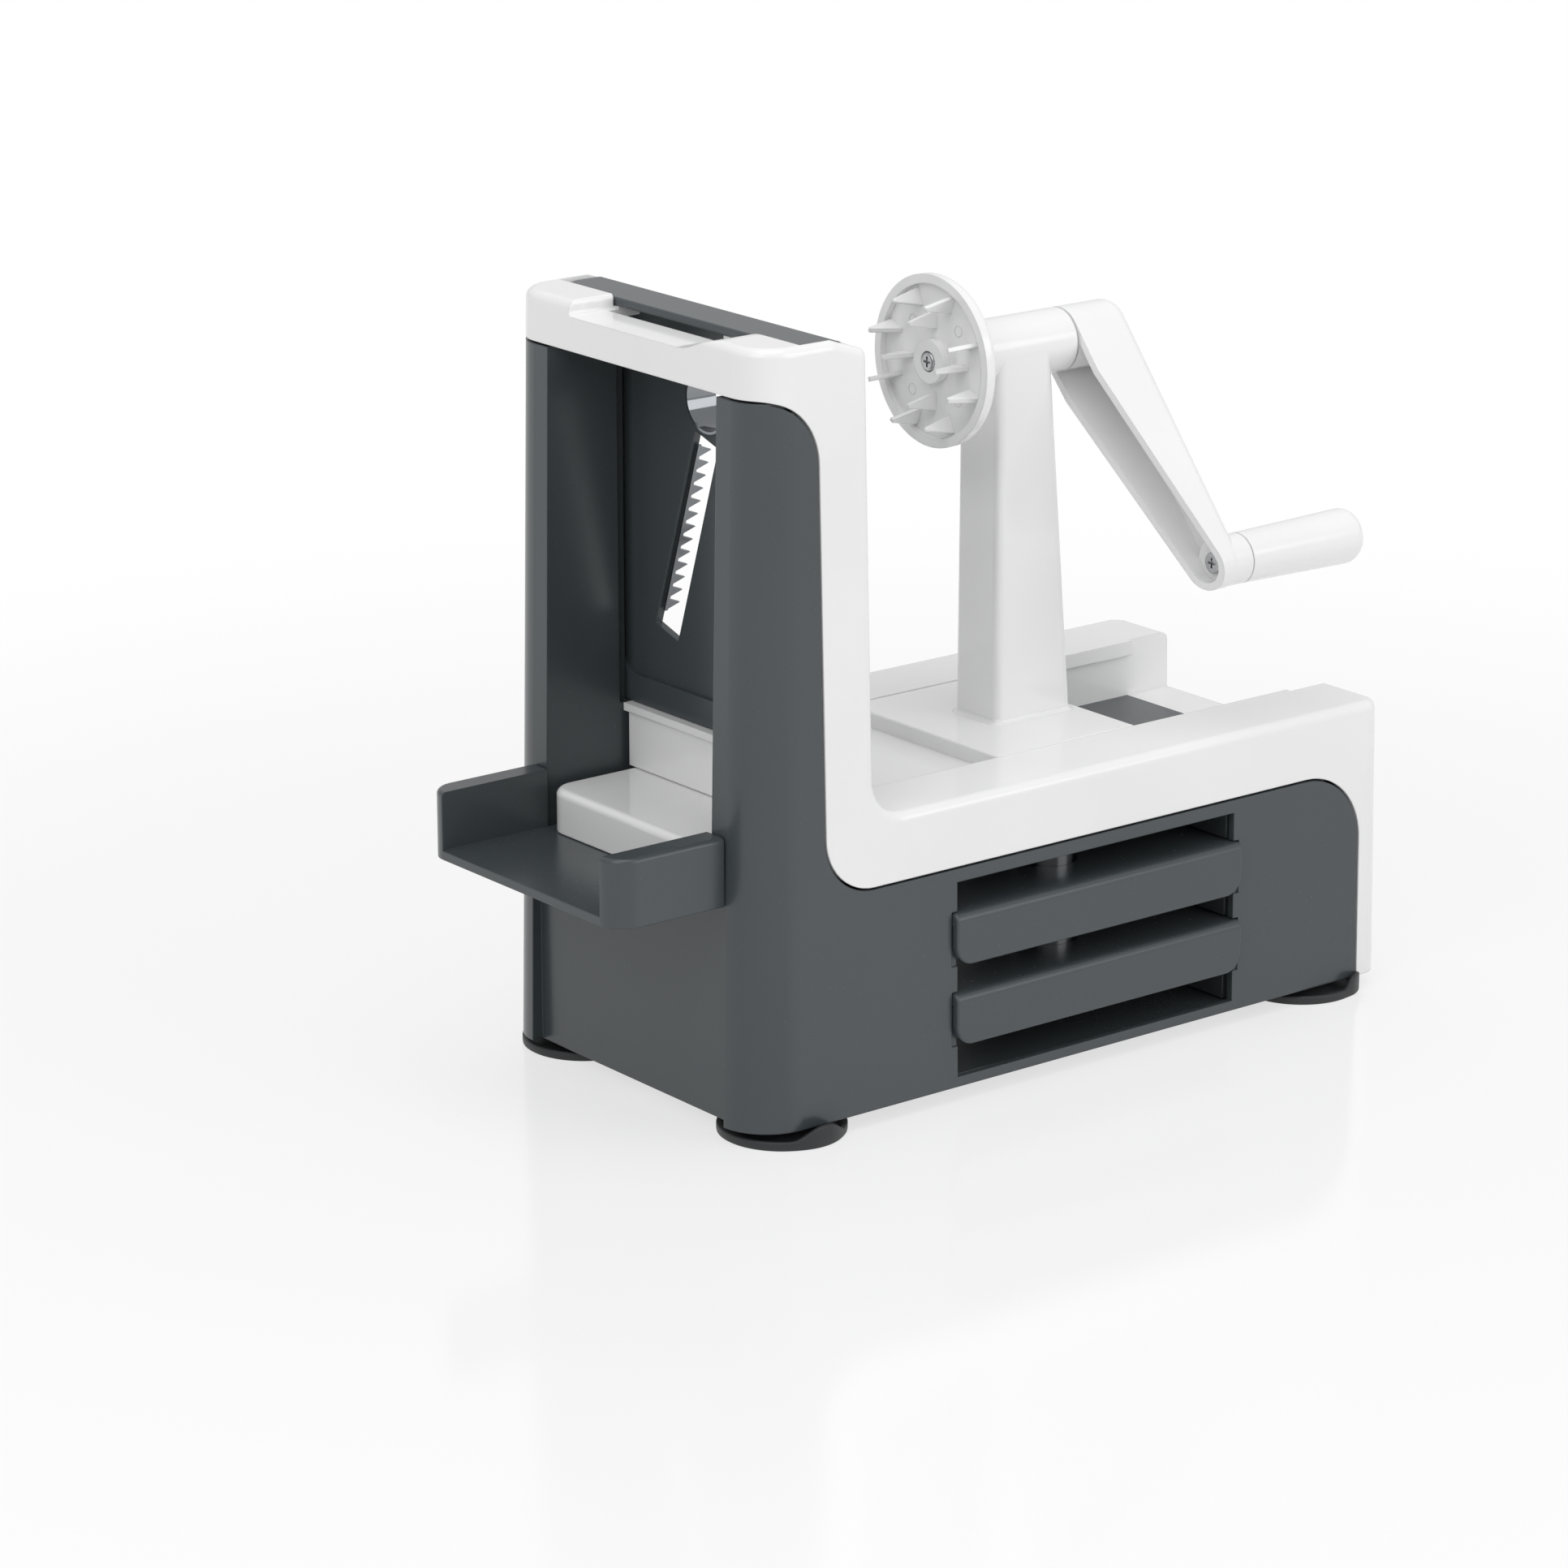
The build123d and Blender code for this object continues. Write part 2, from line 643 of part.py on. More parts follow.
def bush(x0):
    """Plain bush of the drive shaft."""
    ring = rod(x0, x0 + bush_length, bush_diameter)
    return ring - rod(x0 - 1, x0 + bush_length + 1, shaft_diameter + 2 * running_gap)


# ---------------------------------------------------------------- drive
def food_holder():
    """Dished disc with flat teeth that grip the food."""
    front = holder_x - holder_depth
    disc = rod(front, holder_x, holder_diameter)
    disc = fillet(disc.edges().group_by(Axis.X)[-1], 2.0)
    disc -= rod(front - 1, holder_x - holder_web, holder_diameter - 2 * holder_rim)
    face_x = holder_x - holder_web
    disc += rod(face_x - 3.0, face_x, spike_diameter + 5.0)
    for i in range(8):
        disc += holder_tooth(outer_tooth_circle, i * 45.0 + 22.5, face_x)
    for i in range(4):
        disc += holder_tooth(inner_tooth_circle, i * 90.0, face_x)
    disc -= rod(face_x - 10, holder_x + 1, screw_diameter + 0.4)
    disc -= rod(face_x - 4, face_x - 1.4, screw_head + 0.6)
    return disc - square_end(holder_x - 1.2, holder_x + 1, 0.0)


def holder_tooth(circle, angle, face_x):
    """One flat pointed tooth, standing square to the disc."""
    root = face_x + holder_web / 2
    tip = face_x - tooth_length
    outline = make_face(
        Polyline(
            (root, circle - tooth_base / 2),
            (face_x, circle - tooth_base / 2),
            (tip, circle - 0.5),
            (tip, circle + 0.5),
            (face_x, circle + tooth_base / 2),
            (root, circle + tooth_base / 2),
            close=True,
        )
    )
    tooth = extrude(Plane.XZ * outline, tooth_thickness / 2, both=True)
    return Pos(0, 0, axis_height) * tooth.rotate(Axis.X, angle)


def square_end(x0, x1, gap):
    """Squared end of the shaft, or its socket when the gap is given."""
    side = shaft_diameter * 0.7 + 2 * gap
    return block(x0, x1, -side / 2, side / 2, axis_height - side / 2, axis_height + side / 2)


def drive_shaft():
    """Steel shaft with squared ends for the food holder and the crank."""
    shaft = rod(holder_x + running_gap, hub_x, shaft_diameter)
    shaft += square_end(holder_x - 1.0, holder_x + 1.0, -running_gap)
    shaft += square_end(hub_x, hub_x + 14.0, 0.0)
    return shaft - rod(holder_x - 2, holder_x + 8, screw_diameter - 0.4)


def pan_screw(x, y, z, length, size, head):
    """Screw that is driven towards +X, the underside of its head at x."""
    body = rod(x, x + length, size, y, z)
    cap = rod(x - 2.0, x, head, y, z)
    cap = fillet(cap.edges().group_by(Axis.X)[0], 0.8)
    drive = Pos(x - 2.0, y, z) * (Box(2.0, 0.8, 3.4) + Box(2.0, 3.4, 0.8))
    return body + cap - drive


# ---------------------------------------------------------------- crank
def arm_face(extra):
    """Outline of the arm in the Y-Z plane, from the hub to the grip, grown by extra."""
    big = barrel_diameter / 2 + extra
    small = arm_tip_radius + extra
    turn = atan2(grip_z - axis_height, grip_y)
    tilt = asin_ratio(big - small)
    points = []
    for centre, radius, sign in (
        ((0.0, axis_height), big, 1),
        ((grip_y, grip_z), small, 1),
        ((grip_y, grip_z), small, -1),
        ((0.0, axis_height), big, -1),
    ):
        angle = turn + sign * (radians(90) - tilt)
        points.append((centre[0] + radius * cos(angle), centre[1] + radius * sin(angle)))
    web = make_face(Polyline(*points, close=True))
    hub = Pos(0, axis_height) * Circle(big)
    tip = Pos(grip_y, grip_z) * Circle(small)
    return web + hub + tip


def asin_ratio(difference):
    """Half angle between the two straight sides of the arm."""
    return atan2(difference, (crank_radius**2 - difference**2) ** 0.5)


def arm_frame():
    """Plane with local X along +X of the machine and local Y from the hub to the grip."""
    along = Vector(0, grip_y, grip_z - axis_height).normalized()
    return Plane(origin=(hub_x, 0, axis_height), x_dir=(1, 0, 0), z_dir=Vector(1, 0, 0).cross(along))


def crank_arm():
    """Channel-shaped arm with its hub, its collar and the socket of the shaft."""
    solid = extrude(Plane.YZ * Pos(0, 0, hub_x + spin_gap) * arm_face(0), arm_depth - spin_gap)
    back = solid.edges().group_by(Axis.X)[-1]
    solid = fillet(back, arm_round)
    tip = crank_radius + arm_tip_radius
    setback = arm_depth - arm_tip_depth
    start = barrel_diameter / 2
    wedge = make_face(Polyline((-1, start), (setback, tip + 1), (-1, tip + 1), close=True))
    front_cut = extrude(arm_frame() * wedge, 60, both=True)
    hub = rod(hub_x + spin_gap, hub_x + arm_depth - arm_round, barrel_diameter)
    solid -= front_cut
    solid += hub
    pocket = extrude(Plane.YZ * Pos(0, 0, hub_x - 1) * arm_face(-arm_wall), arm_depth - arm_wall + 1)
    solid -= pocket - hub
    collar = rod(arm_back_x - arm_round, collar_x, collar_diameter, grip_y, grip_z)
    solid += collar
    solid -= square_end(hub_x - 1, hub_x + 14.4, running_gap)
    seat = spindle_diameter + 2 * press_gap
    solid -= rod(arm_back_x - arm_wall + 1.5, collar_x + 1, seat, grip_y, grip_z)
    return solid - rod(hub_x, collar_x, screw_diameter + 0.4, grip_y, grip_z)


def crank_grip():
    """Grip that turns freely on its spindle."""
    start = collar_x + spin_gap
    end = collar_x + grip_length
    r0 = collar_diameter / 2
    r1 = grip_end_diameter / 2
    outline = make_face(Polyline((start, 0), (start, r0), (end, r1), (end, 0), close=True))
    corner = outline.vertices().sort_by_distance((end, r1, 0))[0]
    outline = fillet(corner, 5.0)
    grip = Pos(0, grip_y, grip_z) * revolve(outline, Axis.X)
    bore = spindle_diameter + 2 * running_gap
    depth = grip_length - 8.0
    grip -= rod(start - 1, start + depth, bore, grip_y, grip_z)
    return grip - rod(start + depth - 4.0, start + depth, bore + 2.4, grip_y, grip_z)


def grip_spindle():
    """Pin inside the grip, with the button that keeps the grip on."""
    depth = grip_length - 8.0 + spin_gap
    first = arm_back_x - arm_wall + 1.5 + press_gap
    pin = rod(first, collar_x + depth - 0.5, spindle_diameter, grip_y, grip_z)
    pin += rod(collar_x + depth - 3.2, collar_x + depth - 0.5, spindle_diameter + 2.0, grip_y, grip_z)
    return pin - rod(first - 1, first + 12, screw_diameter - 0.4, grip_y, grip_z)


# ---------------------------------------------------------------- output
def build():
    """Every piece by its node name."""
    body = housing()
    pieces = {
        "lower_housing": lower_housing(body),
        "upper_frame": upper_frame(body),
        "bottom_plate": bottom_plate(),
        "storage_runner_front": storage_runner(-1),
        "storage_runner_rear": storage_runner(1),
        "outfeed_tray": outfeed_tray(),
        "blade_sill": blade_sill(),
    }
    names = ("front_near", "front_far", "rear_near", "rear_far")
    for name, (x, y) in zip(names, foot_places()):
        pieces["suction_foot_" + name] = suction_foot(x, y)
    pieces["housing_screws"] = Compound(
        children=[countersunk_screw(x, y, body_z + 0.1, screw_length) for x, y in post_places()]
    )
    plates = (
        ("mounted", mounted_place, fine_pitch),
        ("upper_stored", stored_place(upper_plate_level), coarse_pitch),
        ("lower_stored", stored_place(lower_plate_level), None),
    )
    for name, place, pitch in plates:
        pieces[name + "_plate"] = place * plate_frame()
        pieces[name + "_blade"] = place * slicing_blade()
        pieces[name + "_ring"] = place * coring_ring()
        if pitch:
            pieces[name + "_comb"] = place * shred_comb(pitch)
    pieces["carriage_sled"] = carriage_sled()
    pieces["crank_column"] = crank_column()
    pieces["column_screws"] = Compound(
        children=[countersunk_screw(x, y, sled_z + 4.3, column_screw_length) for x, y in column_screw_places()]
    )
    pieces["front_bush"] = bush(panel_x + barrel_front)
    pieces["rear_bush"] = bush(hub_x - spin_gap - bush_length)
    pieces["drive_shaft"] = drive_shaft()
    pieces["food_holder"] = food_holder()
    pieces["holder_screw"] = pan_screw(
        holder_x - holder_web - 1.4, 0.0, axis_height, 9.0, screw_diameter - 0.5, screw_head
    )
    pieces["crank_arm"] = crank_arm()
    pieces["grip_spindle"] = grip_spindle()
    pieces["grip_screw"] = pan_screw(
        arm_back_x - arm_round, grip_y, grip_z, 13.0, screw_diameter - 0.5, 7.0
    )
    pieces["crank_grip"] = crank_grip()
    return pieces


os.makedirs("parts", exist_ok=True)
for node, shape in build().items():
    export_step(shape, "parts/" + node + ".step")
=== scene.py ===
"""Looks of a hand-cranked spiralizer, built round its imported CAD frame.

Every length is in metres in the frame of the part, unless a name ends in _mm.
"""

import logging
import math
from dataclasses import dataclass
from enum import Enum
from typing import Any, Sequence

import bpy
import numpy as np
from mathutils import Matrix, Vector


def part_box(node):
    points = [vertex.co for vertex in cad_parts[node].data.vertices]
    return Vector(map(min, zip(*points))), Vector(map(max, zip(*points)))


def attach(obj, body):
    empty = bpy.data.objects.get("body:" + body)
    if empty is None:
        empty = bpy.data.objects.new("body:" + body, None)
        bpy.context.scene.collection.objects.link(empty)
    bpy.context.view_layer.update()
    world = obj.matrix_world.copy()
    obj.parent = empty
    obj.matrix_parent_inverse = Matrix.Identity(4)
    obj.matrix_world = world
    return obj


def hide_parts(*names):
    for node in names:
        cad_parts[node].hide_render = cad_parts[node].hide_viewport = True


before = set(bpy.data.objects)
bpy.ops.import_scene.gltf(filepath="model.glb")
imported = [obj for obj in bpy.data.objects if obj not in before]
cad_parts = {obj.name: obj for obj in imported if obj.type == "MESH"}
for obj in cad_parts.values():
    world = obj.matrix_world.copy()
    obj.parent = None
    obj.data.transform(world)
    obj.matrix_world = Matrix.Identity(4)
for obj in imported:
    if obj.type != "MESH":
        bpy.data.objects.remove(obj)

LOG = logging.getLogger("spiralizer")
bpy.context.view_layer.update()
MM = 0.001
# Front panel of the housing; lengths along the machine are counted from it.
PANEL_X_MM = -106.0
# Top of the deck and of the plinth that carries the column.
DECK_Z_MM = 97.0
WHITE = (1.0, 1.0, 1.0, 1.0)
# Values that a noise texture mostly lies between, and wider ones for the grain of plastic.
NOISE_REACH = (0.3, 0.7)
GRAIN_REACH = (0.25, 0.75)


def linear(colour: str, alpha: float = 1.0) -> tuple[float, float, float, float]:
    """Turns an sRGB hex colour into linear values.

    Args:
        colour: Six hex digits with a leading hash.
        alpha: Opacity that goes with it.

    Returns:
        Red, green, blue and alpha.
    """
    parts = [int(colour[i : i + 2], 16) / 255 for i in (1, 3, 5)]
    red, green, blue = (
        c / 12.92 if c <= 0.04045 else ((c + 0.055) / 1.055) ** 2.4 for c in parts
    )
    return red, green, blue, alpha


def add_node(
    tree: bpy.types.NodeTree,
    kind: str,
    sockets: dict[Any, Any] | None = None,
    **settings: Any,
) -> bpy.types.Node:
    """Adds a shader node, sets it up and links it.

    Args:
        tree: Node tree that takes the node.
        kind: Blender's name for the node's type.
        sockets: Input name or index, with a value or an output socket to link.
        **settings: Attributes of the node itself.

    Returns:
        The new node.
    """
    made = tree.nodes.new(kind)
    for name, value in settings.items():
        setattr(made, name, value)
    for name, value in (sockets or {}).items():
        if isinstance(value, bpy.types.NodeSocket):
            tree.links.new(value, made.inputs[name])
        else:
            made.inputs[name].default_value = value
    return made


def empty_material(name: str) -> tuple[bpy.types.Material, bpy.types.NodeTree]:
    """Makes a material with no nodes in it.

    Args:
        name: Name of the material.

    Returns:
        The material and its node tree.
    """
    material = bpy.data.materials.new(name)
    material.use_nodes = True
    material.node_tree.nodes.clear()
    return material, material.node_tree


def spread(
    tree: bpy.types.NodeTree,
    noise: bpy.types.Node,
    reach: tuple[float, float],
    ends: tuple[float, float],
) -> bpy.types.NodeSocket:
    """Maps the reach of a noise onto a range of values.

    Args:
        tree: Node tree of the material.
        noise: Noise node.
        reach: Noise values that give the two ends.
        ends: Lowest and highest value.

    Returns:
        Socket that carries the value.
    """
    mapped = add_node(
        tree,
        "ShaderNodeMapRange",
        {"Value": noise.outputs["Fac"], "From Min": reach[0], "From Max": reach[1],
         "To Min": ends[0], "To Max": ends[1]},
    )
    return mapped.outputs["Result"]


# ------------------------------------------------------------------ finishes
@dataclass(frozen=True)
class MouldedPlastic:
    """Injection-moulded plastic: an even colour, a skin that is a little uneven, and fine grain."""

    name: str
    colour: str
    roughness: float
    ior: float = 1.53
    grain_mm: float = 1.1
    grain_height_mm: float = 0.0012
    sink_mm: float = 42.0
    sink_height_mm: float = 0.05
    # The colour wanders by this share up and down, the roughness between these shares of itself.
    tone: float = 0.015
    smoothest: float = 0.95
    roughest: float = 1.06
    # Edges of a moulding are never sharp: light catches on about this radius.
    edge_mm: float = 0.6

    def build(self) -> bpy.types.Material:
        """Builds the material from noise in real sizes.

        Returns:
            The finished material.
        """
        material, tree = empty_material(self.name)
        place = add_node(tree, "ShaderNodeTexCoord").outputs["Object"]
        sink = add_node(
            tree,
            "ShaderNodeTexNoise",
            {"Vector": place, "Scale": 1 / (self.sink_mm * MM), "Detail": 2.0, "Roughness": 0.4},
        )
        grain = add_node(
            tree,
            "ShaderNodeTexNoise",
            {"Vector": place, "Scale": 1 / (self.grain_mm * MM), "Detail": 3.0, "Roughness": 0.6},
        )
        shade = spread(tree, sink, NOISE_REACH, (1.0 - self.tone, 1.0 + self.tone))
        tinted = add_node(
            tree, "ShaderNodeHueSaturation", {"Value": shade, "Color": linear(self.colour)}
        )
        ends = (self.roughness * self.smoothest, self.roughness * self.roughest)
        polish = spread(tree, grain, GRAIN_REACH, ends)
        edges = add_node(tree, "ShaderNodeBevel", {"Radius": self.edge_mm * MM}, samples=4)
        waves = add_node(
            tree,
            "ShaderNodeBump",
            {"Height": sink.outputs["Fac"], "Distance": self.sink_height_mm * MM, "Strength": 1.0,
             "Normal": edges.outputs["Normal"]},
        )
        skin = add_node(
            tree,
            "ShaderNodeBump",
            {"Height": grain.outputs["Fac"], "Distance": self.grain_height_mm * MM,
             "Strength": 1.0, "Normal": waves.outputs["Normal"]},
        )
        shader = add_node(
            tree,
            "ShaderNodeBsdfPrincipled",
            {"Base Color": tinted.outputs["Color"], "Roughness": polish, "IOR": self.ior,
             "Normal": skin.outputs["Normal"]},
        )
        add_node(tree, "ShaderNodeOutputMaterial", {"Surface": shader.outputs["BSDF"]})
        return material


@dataclass(frozen=True)
class WorkedSteel:
    """Steel with fine marks that run one way, as grinding or turning leaves them."""

    name: str
    colour: str
    roughness: float
    mark_mm: float = 0.35
    stretch: tuple[float, float, float] = (1.0, 1.0, 0.05)
    mark_height_mm: float = 0.003
    # The roughness wanders between these shares of itself.
    smoothest: float = 0.75
    roughest: float = 1.3

    def build(self) -> bpy.types.Material:
        """Builds the material from noise that is drawn out along the marks.

        Returns:
            The finished material.
        """
        material, tree = empty_material(self.name)
        place = add_node(tree, "ShaderNodeTexCoord").outputs["Object"]
        along = add_node(tree, "ShaderNodeMapping", {"Vector": place, "Scale": self.stretch})
        marks = add_node(
            tree,
            "ShaderNodeTexNoise",
            {"Vector": along.outputs["Vector"], "Scale": 1 / (self.mark_mm * MM), "Detail": 4.0},
        )
        ends = (self.roughness * self.smoothest, self.roughness * self.roughest)
        polish = spread(tree, marks, NOISE_REACH, ends)
        relief = add_node(
            tree,
            "ShaderNodeBump",
            {"Height": marks.outputs["Fac"], "Distance": self.mark_height_mm * MM, "Strength": 1.0},
        )
        shader = add_node(
            tree,
            "ShaderNodeBsdfPrincipled",
            {"Base Color": linear(self.colour), "Metallic": 1.0, "Roughness": polish,
             "Normal": relief.outputs["Normal"]},
        )
        add_node(tree, "ShaderNodeOutputMaterial", {"Surface": shader.outputs["BSDF"]})
        return material


class Finish(Enum):
    """Finishes of the machine, each named for the real material."""

    # High-gloss ABS from a polished mould: clear soft reflections.
    WHITE_ABS = MouldedPlastic("gloss_white_abs", "#F0F0F0", 0.11, ior=1.54)
    # ABS in slate grey from a satin mould: duller, with blurred reflections.
    GREY_ABS = MouldedPlastic("slate_grey_abs", "#43494C", 0.26, ior=1.5, tone=0.02)
    # Thermoplastic rubber: dull, nearly black, with a blurred sheen.
    FOOT_RUBBER = MouldedPlastic(
        "black_rubber", "#2A2B2D", 0.5, ior=1.5, grain_height_mm=0.01, sink_height_mm=0.03
    )
    # Acetal bushes: milky white and waxy.
    BUSH_ACETAL = MouldedPlastic("natural_acetal", "#E4E2DC", 0.34, ior=1.48)
    # Stainless blades, ground flat and then honed.
    BLADE_STEEL = WorkedSteel("ground_stainless_steel", "#85888B", 0.08, mark_height_mm=0.001)
    # Bright zinc on the screws.
    SCREW_ZINC = WorkedSteel("bright_zinc_plate", "#B9BABC", 0.3, mark_mm=0.6, stretch=(1.0, 1.0, 1.0))
    # Free-machining steel with turning marks round the shaft.
    SHAFT_STEEL = WorkedSteel("turned_steel", "#B4B5B7", 0.28, stretch=(1.0, 0.08, 0.08))


class Finishes:
    """Builds each finish once and hands it out."""

    def __init__(self) -> None:
        """Starts with nothing built."""
        self._made: dict[Finish, bpy.types.Material] = {}

    def get(self, finish: Finish) -> bpy.types.Material:
        """Gives the material of a finish.

        Args:
            finish: The finish that is asked for.

        Returns:
            Its material.
        """
        if finish not in self._made:
            self._made[finish] = finish.value.build()
        return self._made[finish]

    def dress(self, finish: Finish, nodes: Sequence[str]) -> None:
        """Puts a finish on CAD nodes.

        Args:
            finish: The finish that they take.
            nodes: Their names.
        """
        for name in nodes:
            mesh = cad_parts[name].data
            mesh.materials.clear()
            mesh.materials.append(self.get(finish))
            LOG.info("%s: %s", name, finish.value.name)


# ------------------------------------------------------------------ surfaces
def blend(
    first: np.ndarray | float, last: np.ndarray | float, share: np.ndarray | float
) -> np.ndarray | float:
    """Goes from one value towards another: the first, plus a share of the difference.

    Args:
        first: Value at a share of 0.
        last: Value at a share of 1.
        share: How far to go.

    Returns:
        The value on the way.
    """
    return first + (last - first) * share


def solid_object(name: str, points: np.ndarray, faces: list[list[int]]) -> bpy.types.Object:
    """Makes a closed mesh, with its faces turned outwards.

    Six times the signed volume is the sum, over the triangles of every face, of the triple product
    of their corners. Where it is negative, every face is turned round.

    Args:
        name: Name of the object and its mesh.
        points: Corner points in metres.
        faces: Corner numbers of each face.

    Returns:
        The object, linked to the scene.
    """
    triangles = np.array([[f[0], f[i], f[i + 1]] for f in faces for i in range(1, len(f) - 1)])
    a, b, c = (points[triangles[:, i]] for i in range(3))
    if np.einsum("ij,ij->i", a, np.cross(b, c)).sum() < 0:
        faces = [face[::-1] for face in faces]
    mesh = bpy.data.meshes.new(name)
    mesh.from_pydata(points.tolist(), [], faces)
    mesh.polygons.foreach_set("use_smooth", np.ones(len(mesh.polygons), dtype=bool))
    mesh.update()
    made = bpy.data.objects.new(name, mesh)
    bpy.context.scene.collection.objects.link(made)
    return made


def loop_object(name: str, points: np.ndarray) -> bpy.types.Object:
    """Makes a surface that closes on itself both ways, such as a section round a closed path.

    Args:
        name: Name of the object.
        points: Section steps by path steps by three, in metres.

    Returns:
        The object.
    """
    rows, columns = points.shape[:2]
    index = np.arange(rows * columns).reshape(rows, columns)
    down, right = np.roll(index, -1, axis=0), np.roll(index, -1, axis=1)
    corner = np.roll(down, -1, axis=1)
    faces = np.stack([index, down, corner, right], -1).reshape(-1, 4).tolist()
    return solid_object(name, points.reshape(-1, 3), faces)


def lathe_object(name: str, points: np.ndarray) -> bpy.types.Object:
    """Makes a surface that closes round its axis, with a point at each end of the profile.

    Args:
        name: Name of the object.
        points: Profile steps by angles by three, in metres.

    Returns:
        The object.
    """
    rows, columns = points.shape[:2]
    index = np.arange(rows * columns).reshape(rows, columns)
    right = np.roll(index, -1, axis=1)
    faces = np.stack([index[:-1], index[1:], right[1:], right[:-1]], -1).reshape(-1, 4).tolist()
    poles = points[[0, -1]].mean(axis=1)
    first, last = rows * columns, rows * columns + 1
    faces += np.stack([np.full(columns, first), index[0], right[0]], -1).tolist()
    faces += np.stack([np.full(columns, last), right[-1], index[-1]], -1).tolist()
    return solid_object(name, np.concatenate([points.reshape(-1, 3), poles]), faces)


# ------------------------------------------------------------------ sub-assemblies
@dataclass
class Housing:
    """White frame round a slate grey base, with its tray, sill and runners."""

    white: tuple[str, ...] = ("upper_frame", "blade_sill")
    grey: tuple[str, ...] = (
        "lower_housing",
        "bottom_plate",
        "outfeed_tray",
        "storage_runner_front",
        "storage_runner_rear",
    )

    def build(self, finishes: Finishes) -> None:
        """Dresses the shells.

        Args:
            finishes: Store of the finishes.
        """
        finishes.dress(Finish.WHITE_ABS, self.white)
        finishes.dress(Finish.GREY_ABS, self.grey)
        finishes.dress(Finish.SCREW_ZINC, ("housing_screws",))


@dataclass(frozen=True)
class PullTab:
    """Stretch of a cup's lip that stands up, so that a finger can lift it.

    Its angles are in plan, in degrees from +X, and its two ends may be steep or slow.
    """

    start: float
    end: float
    height_mm: float
    start_ramp: float
    end_ramp: float

    def share(self, turn: np.ndarray) -> np.ndarray:
        """Gives how far the lip is raised at each angle.

        It rises over the ramp after the start and falls over the ramp before the end, each as a
        smooth step, and is 1 between them.

        Args:
            turn: Angles in radians.

        Returns:
            Shares from 0 to 1.
        """
        from_start = np.mod(np.degrees(turn) - self.start, 360)
        to_end = (self.end - self.start) - from_start
        share = np.clip(np.minimum(from_start / self.start_ramp, to_end / self.end_ramp), 0, 1)
        return share * share * (3 - 2 * share)

    def mirrored(self) -> "PullTab":
        """Gives the tab of the cup on the far side."""
        return PullTab(-self.end, -self.start, self.height_mm, self.end_ramp, self.start_ramp)


